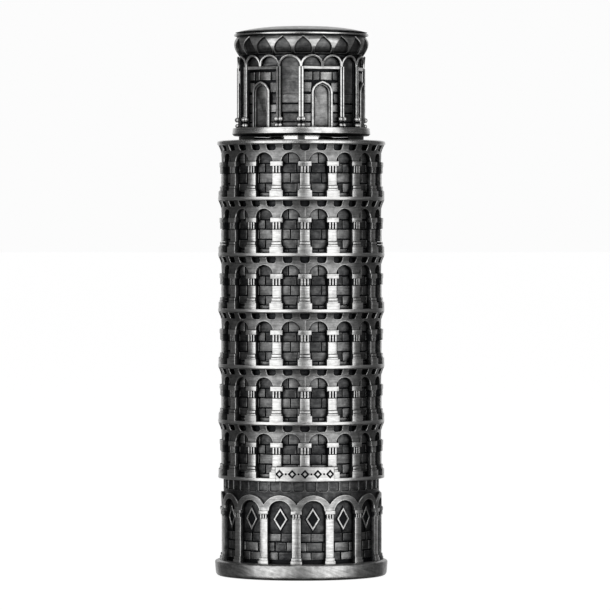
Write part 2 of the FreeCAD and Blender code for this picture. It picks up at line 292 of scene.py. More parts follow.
class Relief:
    """Mesh on an unrolled wall: a corner is (distance round the wall, height, radius, wear), in mm.
    Wear is 1 where the metal is brushed bright and 0 where the dark plating stays. On the turned rings a low
    value also stands for painted shade: under the belfry floor ring, in the roof's grooves, and on the deck
    under the floor."""

    def __init__(self, wall_r):
        self.wall_r = wall_r
        self.places = []
        self.wears_and_shades = []
        self.faces = []
        self.known = {}

    def part(self):
        """Starts a closed shell that shares no corner with the ones before it."""
        self.known = {}

    def corner(self, along, height, radius, wear_and_shade):
        turn = along / self.wall_r
        place = (radius * math.sin(turn), -radius * math.cos(turn), height)
        key = tuple(round(c, 5) for c in place)
        if key not in self.known:
            self.known[key] = len(self.places)
            self.places.append(tuple(c * MM for c in place))
            self.wears_and_shades.append(wear_and_shade)
        return self.known[key]

    def face(self, *corners):
        ids = []
        for corner in corners:
            i = self.corner(*corner)
            if i not in ids:
                ids.append(i)
        if len(ids) > 2:
            self.faces.append(ids)

    def strip(self, first, second, closed=True):
        """Quads between two runs of the same number of corners."""
        count = len(first)
        for i in range(count if closed else count - 1):
            j = (i + 1) % count
            self.face(first[i], first[j], second[j], second[i])

    def loft(self, rows, closed=True):
        """Strips from each row of corners to the next."""
        for first, second in zip(rows, rows[1:]):
            self.strip(first, second, closed)

    def fill(self, loops, radius, wear_and_shade, spacing=0.75):
        """Triangles over the region that an odd number of loops go round; inner corners keep it curved."""
        points = [p for loop in loops for p in loop]
        edges = []
        for loop in loops:
            start = len(edges)
            edges += [(start + i, start + (i + 1) % len(loop)) for i in range(len(loop))]
        extra = inner_points(loops, points, spacing)
        found = delaunay_2d_cdt([Vector(p) for p in points + extra], edges, [], 0, 1e-7)
        for triangle in found[2]:
            flat = [found[0][i] for i in triangle]
            middle = sum(flat, Vector((0, 0))) / 3
            if inside(middle, loops):
                self.face(*at([(p.x, p.y) for p in flat], radius, wear_and_shade))

    def slab(self, outline, back, front, edge, wear_and_shade=1.0, back_wear=0.0, curved=False):
        """Closed block with a rounded front edge."""
        self.part()
        rim = inset(outline, edge)
        foot = at(outline, back, back_wear)
        side = at(outline, front - edge, (wear_and_shade + back_wear) / 2)
        brow = at(inset(outline, edge * 0.3), front - 0.3 * edge, wear_and_shade + 0.3)
        crest = at(rim, front, wear_and_shade)
        self.loft([foot, side, brow, crest])
        if curved:
            self.fill([rim], front, wear_and_shade)
            self.fill([outline], back, back_wear)
        else:
            self.face(*crest)
            self.face(*reversed(foot))

    def block(self, middle, width, bottom, top, back, front, edge, wear_and_shade=1.0):
        outline = rectangle(middle - width / 2, middle + width / 2, bottom, top)
        self.slab(outline, back, front, edge, wear_and_shade)

    def rod(self, path, thickness, radius, wear_and_shade=1.0, sides=8):
        """Round bar that follows a path on the wall, its centre line at one radius."""
        self.part()
        rings = []
        for i, (s, h) in enumerate(path):
            before = path[max(i - 1, 0)]
            after = path[min(i + 1, len(path) - 1)]
            along = Vector((after[0] - before[0], after[1] - before[1])).normalized()
            ring = []
            for k in range(sides):
                turn = 2 * math.pi * k / sides
                out = math.cos(turn) * thickness / 2
                deep = math.sin(turn) * thickness / 2
                ring.append((s - along.y * out, h + along.x * out, radius + deep, wear_and_shade if deep > 0 else 0.3))
            rings.append(ring)
        self.loft(rings)
        self.face(*reversed(rings[0]))
        self.face(*rings[-1])

    def ball(self, along, height, radius, across, tall, wear_and_shade=1.0, rows=8, sides=12):
        """Flattened ball that stands in the wall."""
        self.part()
        rings = []
        for i in range(rows + 1):
            tilt = math.pi * i / rows
            ring = []
            for k in range(sides):
                turn = 2 * math.pi * k / sides
                s = along + across / 2 * math.sin(tilt) * math.cos(turn)
                deep = radius + across / 2 * math.sin(tilt) * math.sin(turn)
                ring.append((s, height - tall / 2 * math.cos(tilt), deep, wear_and_shade))
            rings.append(ring)
        self.loft(rings)

    def mesh(self, name):
        data = bpy.data.meshes.new(name)
        data.from_pydata(self.places, [], self.faces)
        # This attribute holds real wear and, on some turned rings, painted shade.
        wear_and_shade = data.attributes.new("wear_and_shade", "FLOAT", "POINT")
        wear_and_shade.data.foreach_set("value", self.wears_and_shades)
        return data


def inside(point, loops):
    """True if an odd number of loop edges lie to the right of the point."""
    crossings = 0
    for loop in loops:
        for i, (x0, y0) in enumerate(loop):
            x1, y1 = loop[(i + 1) % len(loop)]
            if (y0 > point[1]) != (y1 > point[1]):
                if point[0] < x0 + (point[1] - y0) * (x1 - x0) / (y1 - y0):
                    crossings += 1
    return crossings % 2 == 1


def inner_points(loops, points, spacing):
    """Grid points inside the region, clear of its outline."""
    xs = [p[0] for p in points]
    ys = [p[1] for p in points]
    columns = max(1, round((max(xs) - min(xs)) / spacing))
    rows = max(1, round((max(ys) - min(ys)) / spacing))
    kept = []
    for i in range(1, columns):
        for j in range(1, rows):
            x = min(xs) + (max(xs) - min(xs)) * i / columns
            y = min(ys) + (max(ys) - min(ys)) * j / rows
            clear = all((x - p[0]) ** 2 + (y - p[1]) ** 2 > (0.25 * spacing) ** 2 for p in points)
            if clear and inside((x, y), loops):
                kept.append((x, y))
    return kept


def inset(outline, distance):
    """The outline moved inwards; it runs anticlockwise."""
    moved = []
    count = len(outline)
    for i, (x, y) in enumerate(outline):
        before = Vector(outline[i - 1])
        after = Vector(outline[(i + 1) % count])
        here = Vector((x, y))
        first = (here - before).normalized()
        second = (after - here).normalized()
        normal = Vector((-first.y - second.y, first.x + second.x)) / (1 + first.dot(second))
        moved.append(tuple(here + normal * distance))
    return moved


def run(start, end, spacing=0.7):
    """Points from start towards end, end left out."""
    length = math.dist(start, end)
    steps = max(1, math.ceil(length / spacing))
    return [tuple(a + (b - a) * i / steps for a, b in zip(start, end)) for i in range(steps)]


def sides_of(corners, spacing=0.7):
    """Closed outline with points along the sides between its corners."""
    outline = []
    for i, corner in enumerate(corners):
        outline += run(corner, corners[(i + 1) % len(corners)], spacing)
    return outline


def arc(middle, radius, start, end, steps):
    """Points on an arc, both ends included; angles in degrees, anticlockwise from the right."""
    points = []
    for i in range(steps + 1):
        turn = math.radians(start + (end - start) * i / steps)
        points.append((middle[0] + radius * math.cos(turn), middle[1] + radius * math.sin(turn)))
    return points


def turned(profile, wear_and_shade, segments=180):
    """Ring or disc turned about the tower's axis from a closed profile of (radius, height) corners."""
    relief = Relief(1.0)
    rings = []
    for radius, height in profile:
        turns = [2 * math.pi * k / segments for k in range(segments)]
        rings.append([(turn, height, radius, value(wear_and_shade, radius, height)) for turn in turns])
    relief.loft(rings[-1:] + rings)
    return relief.mesh("turned")


def rounded(profile, edge, steps=3):
    """A closed (radius, height) profile with its corners rounded; a third value sets a corner's own size."""
    smooth = []
    count = len(profile)
    for i, corner in enumerate(profile):
        size = corner[2] if len(corner) > 2 else edge
        here = Vector(corner[:2])
        before = Vector(profile[i - 1][:2])
        after = Vector(profile[(i + 1) % count][:2])
        if size == 0:
            smooth.append(tuple(here))
            continue
        back = (before - here).normalized()
        on = (after - here).normalized()
        start = here + back * min(size, (before - here).length * 0.45)
        end = here + on * min(size, (after - here).length * 0.45)
        for k in range(steps + 1):
            t = k / steps
            smooth.append(tuple(start * (1 - t) ** 2 + here * (2 * t * (1 - t)) + end * t ** 2))
    return smooth


# ---------------------------------------------------------------- geometry nodes


def add_node(tree, kind, settings=None, values=None, links=None):
    """Adds one node, sets its properties and its inputs, links its inputs, and gives back its outputs."""
    node = tree.nodes.new(kind)
    for name, setting in (settings or {}).items():
        setattr(node, name, setting)
    feed(tree, node, values or {}, links or {})
    return node.outputs


def feed(tree, node, values, links):
    """Sets inputs of a node, and links others from sockets."""
    for name, number in values.items():
        node.inputs[name].default_value = number
    for name, socket in links.items():
        tree.links.new(socket, node.inputs[name])


def around_tree():
    """Geometry Nodes tree: copies of a piece of wall at equal turns round the tower, their sides welded."""
    name = "Around the tower"
    if name in bpy.data.node_groups:
        return bpy.data.node_groups[name]
    tree = bpy.data.node_groups.new(name, "GeometryNodeTree")
    face = tree.interface
    numbers = {"Count": "Int", "First turn": "Float", "Weld": "Float"}
    for socket, kind in {"Geometry": "Geometry", **numbers, "Material": "Material"}.items():
        face.new_socket(socket, in_out="INPUT", socket_type="NodeSocket" + kind)
    face.new_socket("Geometry", in_out="OUTPUT", socket_type="NodeSocketGeometry")
    given = tree.nodes.new("NodeGroupInput").outputs
    points = add_node(tree, "GeometryNodePoints", links={"Count": given["Count"]})
    index = tree.nodes.new("GeometryNodeInputIndex")
    step = add_node(tree, "ShaderNodeMath", {"operation": "DIVIDE"}, {0: 2 * math.pi}, {1: given["Count"]})
    turn = add_node(
        tree,
        "ShaderNodeMath",
        {"operation": "MULTIPLY_ADD"},
        links={0: index.outputs[0], 1: step[0], 2: given["First turn"]},
    )
    spin = add_node(tree, "ShaderNodeCombineXYZ", links={"Z": turn[0]})
    copies = add_node(
        tree,
        "GeometryNodeInstanceOnPoints",
        links={"Points": points[0], "Instance": given["Geometry"], "Rotation": spin[0]},
    )
    real = add_node(tree, "GeometryNodeRealizeInstances", links={"Geometry": copies[0]})
    welded = add_node(
        tree, "GeometryNodeMergeByDistance", links={"Geometry": real[0], "Distance": given["Weld"]}
    )
    finish = add_node(
        tree, "GeometryNodeSetMaterial", links={"Geometry": welded[0], "Material": given["Material"]}
    )
    out = tree.nodes.new("NodeGroupOutput")
    feed(tree, out, {}, {0: finish[0]})
    return tree


def around(unit, count, material, first=0.0):
    """Plain mesh of a unit repeated round the tower."""
    tree = around_tree()
    carrier = bpy.data.objects.new("carrier", unit)
    bpy.context.scene.collection.objects.link(carrier)
    modifier = carrier.modifiers.new("Around", "NODES")
    modifier.node_group = tree
    values = {"Count": count, "First turn": math.radians(first), "Weld": 0.0005 * MM, "Material": material}
    for socket in tree.interface.items_tree:
        if socket.in_out == "INPUT" and socket.name in values:
            modifier[socket.identifier] = values[socket.name]
    bpy.context.view_layer.update()
    seen = carrier.evaluated_get(bpy.context.evaluated_depsgraph_get())
    mesh = bpy.data.meshes.new_from_object(seen)
    carrier.modifiers.remove(modifier)
    bpy.data.objects.remove(carrier)
    return mesh


def piece(node, meshes, material, body):
    """One object from several meshes, in place of a CAD node: joined, faces outwards, smooth but for its
    edges, riding on its body."""
    name = node + "_relief"
    parts = []
    for mesh in meshes:
        part = bpy.data.objects.new(name, mesh)
        bpy.context.scene.collection.objects.link(part)
        parts.append(part)
    whole = parts[0]
    with bpy.context.temp_override(
        active_object=whole, object=whole, selected_objects=parts, selected_editable_objects=parts
    ):
        if len(parts) > 1:
            bpy.ops.object.join()
    data = whole.data
    data.name = name
    turn_outwards(data)
    data.materials.clear()
    data.materials.append(material)
    data.polygons.foreach_set("material_index", [0] * len(data.polygons))
    data.shade_smooth()
    data.set_sharp_from_angle(angle=math.radians(32))
    carry(whole, node, body)
    return whole


def carry(item, node, body):
    """Lets an object ride on its body in place of the CAD node."""
    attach(item, body)
    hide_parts(node)


def turn_outwards(data):
    work = bmesh.new()
    work.from_mesh(data)
    bmesh.ops.recalc_face_normals(work, faces=work.faces)
    work.to_mesh(data)
    work.free()


# ---------------------------------------------------------------- shapes of the castings


def sleeve(in_r, out_r, bottom, top):
    """Plain dark wall behind the relief."""
    return turned([(in_r, bottom), (out_r, bottom), (out_r, top), (in_r, top)], 0.0, 90)


def arch_plate(count, spring, arch_mid, arch_r, top, front, edge, front_wear):
    """One bay of a wall pierced by an arch, open at both sides for its neighbours. The arch has a thin rim
    that is rubbed brighter than the wall."""
    relief = Relief(FACE_R)
    half = math.pi * FACE_R / count
    drop = math.degrees(math.asin((spring - arch_mid) / arch_r))

    def lower(radius):
        curve = arc((0, arch_mid), radius, 180 - drop, drop, ARCH_STEPS)
        return [(-half, spring)] + curve + [(half, spring)]

    def rim_wear(s, _):
        return RIM_WEAR if abs(s) < half else front_wear

    wall = lower(arch_r)
    field = lower(arch_r + edge + RUBBED)
    crest = run((half, top), (-half, top)) + [(-half, top)]
    rows = [
        at(wall, ROOT_R, 0.0),
        at(wall, front - edge, front_wear),
        at(lower(arch_r + edge), front, rim_wear),
        at(field, front, front_wear),
    ]
    relief.loft(rows, closed=False)
    relief.strip(at(crest, front, front_wear), at(crest, ROOT_R, 0.0), closed=False)
    relief.fill([field + crest], front, front_wear)
    relief.fill([wall + crest], ROOT_R, 0.0)
    return relief.mesh("arch plate")


def pocket_ring(count, wall_r, bottom, top, hole, floor, front, back, edge, front_wear, floor_wear_and_shade):
    """One pocket of a ring of pockets, open at both sides. The radius of front and floor and the wear of
    the front are numbers or functions of (along, height)."""
    relief = Relief(wall_r)
    half = math.pi * wall_r / count
    low_side = run((-half, bottom), (half, bottom))
    high_side = run((half, top), (-half, top))
    right = run((half, bottom), (half, top), 0.3)
    left = run((-half, top), (-half, bottom), 0.3)
    sheet = low_side + right + high_side + left
    field = inset(hole, -edge - RUBBED * 0.8)
    foot = inset(hole, edge * 0.6)
    relief.fill([sheet, field], front, front_wear, 0.6)
    rows = [
        at(field, front, front_wear),
        at(inset(hole, -edge), front, lambda s, h: min(RIM_WEAR, value(front_wear, s, h) + 0.45)),
        at(hole, lambda s, h: value(front, s, h) - edge, lambda s, h: value(front_wear, s, h) * 0.6),
        at(foot, floor, floor_wear_and_shade),
    ]
    relief.loft(rows)
    relief.fill([foot], floor, floor_wear_and_shade, 0.6)
    for line in (low_side + [(half, bottom)], high_side + [(-half, top)]):
        relief.strip(at(line, front, front_wear), at(line, back, 0.0), closed=False)
    relief.fill([sheet], back, 0.0, 0.9)
    return relief.mesh("pocket ring")


def rounded_box(width, bottom, top, corner, steps=4):
    """Outline with square upper and round lower corners."""
    half = width / 2
    left = arc((-half + corner, bottom + corner), corner, 180, 270, steps)
    right = arc((half - corner, bottom + corner), corner, 270, 360, steps)
    return left + right + [(half, top), (-half, top)]


def column(levels, flutes, edge):
    """Half column: stacked blocks, with three ribs on a dark bell under the capital."""
    relief = Relief(FACE_R)
    for bottom, top, width, radius in levels:
        relief.block(0.0, width, bottom, top, ROOT_R, radius, edge)
    bottom, top, width, radius = flutes
    relief.block(0.0, width, bottom - 0.1, top, ROOT_R, radius - 0.4, edge, -0.3)
    pitch = width / 3.2
    for k in (-1, 0, 1):
        relief.block(k * pitch, pitch * 0.56, bottom, top, JOINT_R, radius, edge * 0.8)
    return relief.mesh("column")


def bricks(relief, sizes, random_source, span, bottom, top, back, front, wear_and_shade, shift=0.0, scale=1.0):
    """One course of bricks over a span of the wall, with uneven lengths and depths."""
    count = max(1, round((span[1] - span[0]) / (sizes.brick * scale)))
    pitch = (span[1] - span[0]) / count
    edges = []
    for k in range(count):
        edges.append(span[0] + pitch * (k + shift) + random_source.uniform(-0.18, 0.18) * pitch)
    edges.append(edges[0] + span[1] - span[0])
    for left, right in zip(edges, edges[1:]):
        depth = front + random_source.uniform(-1, 1) * sizes.unevenness
        gap = sizes.joint / 2
        sway = [random_source.uniform(-0.05, 0.05) for _ in range(4)]
        outline = [
            (left + gap + sway[0], bottom + sway[1]),
            (right - gap + sway[2], bottom + sway[3]),
            (right - gap + sway[1], top + sway[0]),
            (left + gap + sway[3], top + sway[2]),
        ]
        relief.slab(outline, back, depth, sizes.edge * 1.3, wear_and_shade + random_source.uniform(-0.18, 0.16))


def wall_courses(sizes, seed, shares, courses, front, wear_and_shade):
    """Bricks over one share of the wall; every second course is shifted by half a brick."""
    source = random.Random(seed)
    relief = Relief(BRICK_R)
    span = (0.0, 2 * math.pi * BRICK_R / shares)
    for k, (bottom, top) in enumerate(courses):
        bricks(relief, sizes, source, span, bottom, top, ROOT_R, front, wear_and_shade, 0.5 * (k % 2))
    return relief.mesh("bricks")


def flare(_, height):
    """Outer radius of a gallery's flared top at a height above its foot."""
    start = 8.3
    t = max(0.0, (height - start) / (PITCH - start))
    return FACE_R + (BAND_R - 0.03 - FACE_R) * t ** 1.7


def gallery_meshes(sizes, silver):
    edge = sizes.edge
    count = GALLERY_COLUMNS
    profile = [(BAND_ROOT_R, 0.0, 0), (BAND_R, 0.0), (BAND_R, BAND_HIGH), (BAND_ROOT_R, BAND_HIGH, 0)]
    top = GALLERY_PLATE_TOP
    plate = arch_plate(
        count, GALLERY_SPRING, GALLERY_ARCH_MID, GALLERY_ARCH_R, top, FACE_R, edge, PLATE_WEAR
    )
    hole = rounded_box(POCKET_WIDTH, POCKET_LOW, POCKET_HIGH, 0.5)
    pockets = pocket_ring(
        POCKETS, FACE_R, top, PITCH, hole, POCKET_FLOOR_R, flare, ROOT_R, edge * 0.8, PLATE_WEAR, 0.15
    )
    courses = wall_courses(sizes, sizes.seed, 6, GALLERY_COURSES, BRICK_R, 0.44)
    # Thin casting seam up the front column
    seam = Relief(FACE_R)
    for foot, head, _, radius in GALLERY_COLUMN[2:]:
        seam.block(0.06, 0.09, foot + 0.1, head - 0.1, JOINT_R, radius + 0.03, 0.02)
    seam.block(0.06, 0.09, GALLERY_SPRING, top, JOINT_R, FACE_R + 0.03, 0.02)
    return [
        sleeve(WALL_IN_R, JOINT_R, 0.02, PITCH - 0.05),
        turned(rounded(profile, 0.14), lambda r, h: RIM_WEAR if r > BAND_R - 0.3 else 0.0),
        around(plate, count, silver, 180 / count),
        around(pockets, POCKETS, silver),
        around(column(GALLERY_COLUMN, GALLERY_FLUTES, edge), count, silver),
        around(courses, 6, silver),
        seam.mesh("seam"),
    ]


def ground_meshes(sizes, silver):
    edge = sizes.edge
    count = GROUND_ARCHES
    top = GROUND_PLATE_TOP
    plate = arch_plate(
        count, GROUND_SPRING, GROUND_ARCH_MID, GROUND_ARCH_R, top, GROUND_FACE_R, edge, GROUND_WEAR
    )
    hole = rounded_box(PANEL_WIDTH, PANEL_LOW, GROUND_TOP - 0.2, 0.35)
    floor = GROUND_FACE_R - 0.2
    front = GROUND_FACE_R + 0.03
    panels = pocket_ring(
        PANELS, FACE_R, top, GROUND_TOP, hole, floor, front, ROOT_R, edge, GROUND_WEAR, 0.36
    )
    back_panel = Relief(FACE_R)
    half = 2 * math.pi * FACE_R / count * 0.45
    field = rectangle(-half, half, PANEL_BACK_LOW, PANEL_BACK_HIGH)
    back_panel.slab(field, ROOT_R, PANEL_BACK_R, edge, 0.3, 0.0, True)
    diamond(back_panel, edge)
    courses = wall_courses(sizes, sizes.seed + 1, 5, GROUND_COURSES, BRICK_R + 0.02, 0.46)
    return [
        sleeve(WALL_IN_R, JOINT_R, FOOT_TOP, GROUND_TOP - 0.02),
        around(plate, count, silver, GROUND_TURN),
        around(hood(edge), count, silver, GROUND_TURN),
        around(panels, PANELS, silver, 180 / PANELS),
        around(column(GROUND_COLUMN, GROUND_FLUTES, edge), count, silver, GROUND_TURN - 180 / count),
        around(back_panel.mesh("back panel"), count, silver, GROUND_TURN),
        around(courses, 5, silver, GROUND_TURN),
    ]


def diamond_corners(middle, half_width, half_height):
    s, h = middle
    return [(s, h - half_height), (s + half_width, h), (s, h + half_height), (s - half_width, h)]


def diamond(relief, edge):
    """Raised diamond frame on a dark field in the head of a blind arch."""
    outer = diamond_corners((0, DIAMOND_MID), DIAMOND_HALF_WIDTH, DIAMOND_HALF_HEIGHT)
    relief.slab(inset(outer, -DIAMOND_FRAME * 0.6), JOINT_R, DIAMOND_FIELD_R, edge * 0.5, -0.5, -0.5, True)
    inner = inset(outer, DIAMOND_FRAME)
    rings = (outer, inset(outer, edge * 0.8), inset(inner, -edge * 0.8), inner)
    raised_frame(relief, rings, edge, DIAMOND_BACK_R, DIAMOND_FACE_R, 0.4, 1.0)


def raised_frame(relief, rings, edge, back, front, side_wear, wear_and_shade):
    """Closed frame between an outer and an inner outline, with its crest's two outlines between them."""
    relief.part()
    outer, crest_out, crest_in, inner = rings
    rows = [
        at(outer, back, 0.0),
        at(outer, front - edge, side_wear),
        at(crest_out, front, wear_and_shade),
        at(crest_in, front, wear_and_shade),
        at(inner, front - edge, side_wear),
        at(inner, back, 0.0),
    ]
    relief.loft(rows[-1:] + rows)


def hood(edge):
    """One bay of the raised band that follows the ground arches, meeting its neighbours in a point."""
    relief = Relief(FACE_R)
    half = math.pi * FACE_R / GROUND_ARCHES
    spring = GROUND_SPRING - 0.03
    drop = math.degrees(math.asin((spring - GROUND_ARCH_MID) / GROUND_ARCH_R))
    meet = math.degrees(math.acos(half / HOOD_R))

    def lower(extra):
        curve = arc((0, GROUND_ARCH_MID), GROUND_ARCH_R + extra, 180 - drop, drop, ARCH_STEPS)
        return [(-half, spring)] + curve + [(half, spring)]

    def upper(less):
        return [(s, h - less) for s, h in arc((0, HOOD_MID), HOOD_R, meet, 180 - meet, ARCH_STEPS)]

    front = HOOD_FACE_R
    wear_and_shade = 0.72
    inner = edge + 2 * RUBBED
    for line in (lower, upper):
        rows = [
            at(line(0.0), JOINT_R, 0.0),
            at(line(0.0), front - edge, 0.8),
            at(line(edge), front, RIM_WEAR),
            at(line(inner), front, wear_and_shade),
        ]
        relief.loft(rows, False)
    relief.fill([lower(inner) + upper(inner)], front, wear_and_shade)
    relief.fill([lower(0.0) + upper(0.0)], JOINT_R, 0.0)
    return relief.mesh("hood")


def drum_meshes(sizes, silver):
    """Belfry wall: six door bays and six niches between twin colonnettes."""
    edge = sizes.edge
    degree = DRUM_FACE_R * math.pi / 180
    side = COLONNETTE_ANGLE * degree
    niche_middle = 30 * degree
    niche_half = niche_middle - side
    bay = Relief(DRUM_FACE_R)
    for place in (-side, side):
        bay.block(place, 0.9, DRUM_LOW, CORNICE_LOW - 0.1, DRUM_BACK_R, 11.3, edge, 0.0)
        for twin in (-TWIN, TWIN):
            bay.rod([(place + twin, SHAFT_LOW), (place + twin, SHAFT_TOP)], 0.37, SHAFT_R, ROD_WEAR)
            bay.ball(place + twin * 1.64, DRUM_LOW + 1.46, BALL_R, 0.88, 0.9, ROD_WEAR)
            bay.ball(place + twin * 1.4, DRUM_LOW + 0.38, BALL_R, 0.72, 0.76, ROD_WEAR)
    bay.slab(rectangle(-side, side, DRUM_LOW, LINTEL_LOW), DRUM_BACK_R, DRUM_BAY_R, edge, 0.0, 0.0, True)
    bay.block(0, 2 * side - 0.8, LINTEL_LOW, LINTEL_HIGH, DRUM_BACK_R, LINTEL_R, edge * 1.5, 0.9)
    quarter = side / 2
    for middle in (-quarter, quarter):
        path = arc((middle, LINTEL_HIGH - 0.05), quarter - 0.02, 180, 0, 14)
        bay.rod(path, MOULDING, MOULDING_R, ROD_WEAR)
        head = arc((middle, LINTEL_HIGH - 0.02), quarter - 0.25, 0, 180, 10)
        bay.slab(head, DRUM_BACK_R, LUNETTE_R, edge, 0.42)
    bay.rod(arc((niche_middle, SHAFT_TOP), niche_half - 0.02, 180, 0, 16), MOULDING, MOULDING_R, ROD_WEAR)
    niche_head(bay, niche_middle, niche_half - 0.2)
    door(bay, edge)
    source = random.Random(sizes.seed + 2)
    door_top = DOOR_SPRING + DOOR_HALF
    niche_span = (niche_middle - niche_half, niche_middle + niche_half)
    for bottom, top in BELFRY_COURSES:
        heights = (DRUM_LOW + bottom, DRUM_LOW + top)
        beside_door = ((-side, -DOOR_HALF), (DOOR_HALF, side))
        for span in beside_door if heights[0] < door_top else ((-side, side),):
            bricks(bay, sizes, source, span, *heights, DRUM_BACK_R, DRUM_BRICK_R, 0.54, 0.0, BELFRY_BRICK)
        if heights[1] < NICHE_LOW:
            bricks(bay, sizes, source, niche_span, *heights, DRUM_BACK_R, DRUM_BRICK_R - 0.1, 0.46)
    return [
        sleeve(DRUM_IN_R, DRUM_JOINT_R, DRUM_LOW, CORNICE_LOW - 0.05),
        around(bay.mesh("bay"), BAYS, silver, BELFRY_TURN),
        around(spandrels(side, niche_half), BAYS, silver, BELFRY_TURN),
    ]


def niche_head(relief, middle, half):
    """Smooth hollow head of a niche."""
    relief.part()
    left = middle - half
    right = middle + half
    outline = run((left, NICHE_LOW), (right, NICHE_LOW)) + run((right, NICHE_LOW), (right, SHAFT_TOP))
    outline += arc((middle, SHAFT_TOP), half, 0, 180, 14) + run((left, SHAFT_TOP), (left, NICHE_LOW))[1:]

    def front(s, _):
        return NICHE_R + NICHE_HOLLOW * ((s - middle) / half) ** 2

    relief.strip(at(outline, DRUM_BACK_R, 0.0), at(outline, front, 0.45))
    relief.fill([outline], front, 0.45, 0.4)
    relief.fill([outline], DRUM_BACK_R, 0.0)


def spandrels(side, niche_half):
    """Wall above the small arches of one bay and one niche, open at both sides for its neighbours."""
    relief = Relief(DRUM_FACE_R)
    quarter = side / 2
    right = side + niche_half
    half_niche = arc((right, SHAFT_TOP), niche_half - 0.1, 180, 90, 8)
    lower = [(-p[0], p[1]) for p in reversed(half_niche)]
    for middle in (-quarter, quarter):
        lower += arc((middle, LINTEL_HIGH - 0.05), quarter - 0.1, 180, 0, 12)
    lower += half_niche
    top = CORNICE_LOW + 0.1
    crest = run((right, top), (-right, top)) + [(-right, top)]
    relief.strip(at(lower, DRUM_BACK_R, 0.0), at(lower, DRUM_FACE_R, 0.3), False)
    relief.strip(at(crest, DRUM_FACE_R, 0.3), at(crest, DRUM_BACK_R, 0.0), False)
    relief.fill([lower + crest], DRUM_FACE_R, 0.3)
    relief.fill([lower + crest], DRUM_BACK_R, 0.0)
    return relief.mesh("spandrels")


def door(relief, edge):
    """Door with a slightly pointed head and two mouldings round its leaf."""

    def outline(half):
        head = []
        for s, h in arc((0, DOOR_SPRING), half, 0, 180, 16):
            point = 0.16 * max(0.0, 1 - abs(s) / (0.3 * half))
            head.append((s, h + point))
        return [(-half, DRUM_LOW), (half, DRUM_LOW)] + head

    for outside, inside_of, front, wear_and_shade in DOOR_MOULDINGS:
        outer = DOOR_HALF - outside
        inner = DOOR_HALF - inside_of
        rings = [outline(half) for half in (outer, outer - edge, inner + edge, inner)]
        raised_frame(relief, rings, edge, DRUM_BACK_R, front, wear_and_shade * 0.7, wear_and_shade)
    relief.slab(outline(DOOR_HALF - 0.3), DRUM_BACK_R, DOOR_LEAF_R, edge * 0.5, 0.62)


def cornice_radius(_, height):
    """Outer radius of the cornice at a height: it swells, then draws in under the roof."""
    belly = 0.63
    t = (height - CORNICE_LOW) / (ROOF_LOW - CORNICE_LOW)
    swell = math.sin(min(1.0, t / belly) * math.pi / 2)
    draw = max(0.0, (t - belly) / (1 - belly))
    return CORNICE_FOOT_R + (CORNICE_R - CORNICE_FOOT_R) * swell - (CORNICE_R - CORNICE_TOP_R) * draw ** 2


def cornice_wear(_, height):
    """Dark at the foot, brushed bright from 0.85 mm above the foot upwards."""
    return min(0.95, max(0.1, 0.1 + (height - CORNICE_LOW - 0.5) / 0.9))


def cornice_meshes(sizes, silver):
    base = CORNICE_LOW + 0.42
    spring = CORNICE_LOW + 0.85
    tip = ROOF_LOW - 0.22
    steps = 12
    right = []
    for k in range(steps):
        t = k / steps
        right.append((SCALLOP_HALF * (1 - t ** 1.9), spring + (tip - spring) * t))
    left = [(-s, h) for s, h in reversed(right)]
    hole = [(-SCALLOP_HALF * 0.93, base), (SCALLOP_HALF * 0.93, base)] + right + [(0, tip)] + left

    def floor(s, h):
        return cornice_radius(s, h) - 0.5

    edge = sizes.edge * 0.9
    ring = pocket_ring(
        SCALLOPS, 12.0, CORNICE_LOW, ROOF_LOW, hole, floor, cornice_radius, 10.0, edge, cornice_wear, 0.46
    )
    return [around(ring, SCALLOPS, silver, BELFRY_TURN)]


def plaque_mesh():
    """Curved plate with an engraved row of lozenges and dots, a little proud of the frame's plate so that
    it clears the column feet."""
    relief = Relief(BAND_R)
    front = -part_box("front_plaque")[0].y / MM + PLAQUE_PROUD
    half = PLAQUE_HALF_ANGLE * math.pi / 180 * BAND_R
    bottom = low("front_plaque")
    top = high("front_plaque")
    outline = sides_of(rectangle(-half, half, bottom, top))
    middle = (bottom + top) / 2 + 0.02
    marks = []
    for k in range(-2, 3):
        marks += lozenge(k * MARK_PITCH, middle, 0.82, 0.84, 0.34)
    for k in (-1.5, -0.5, 0.5, 1.5):
        marks.append(arc((k * MARK_PITCH, middle), 0.2, 0, 345, 23))
    rim = inset(outline, PLAQUE_EDGE)
    side = at(outline, front - PLAQUE_EDGE, 0.8)
    relief.loft([at(outline, PLAQUE_BACK_R, 0.0), side, at(rim, front, 1.0)])
    relief.fill([rim] + marks, front, 1.0)
    for mark in marks:
        relief.strip(at(mark, front, 1.0), at(mark, front - ENGRAVING, 0.0))
    relief.fill(marks, front - ENGRAVING, 0.0)
    relief.fill([outline], PLAQUE_BACK_R, 0.0)
    return relief.mesh("plaque")


def lozenge(middle, height, half_width, half_height, stroke):
    """Outer and inner outline of an engraved lozenge."""
    outer = sides_of(diamond_corners((middle, height), half_width, half_height), 0.45)
    return [outer, inset(outer, stroke)]


# ---------------------------------------------------------------- materials


def new_material(name):
    material = bpy.data.materials.new(name)
    material.use_nodes = True
    tree = material.node_tree
    tree.nodes.clear()
    shader = tree.nodes.new("ShaderNodeBsdfPrincipled")
    out = tree.nodes.new("ShaderNodeOutputMaterial")
    feed(tree, out, {}, {"Surface": shader.outputs[0]})
    return material, tree, shader


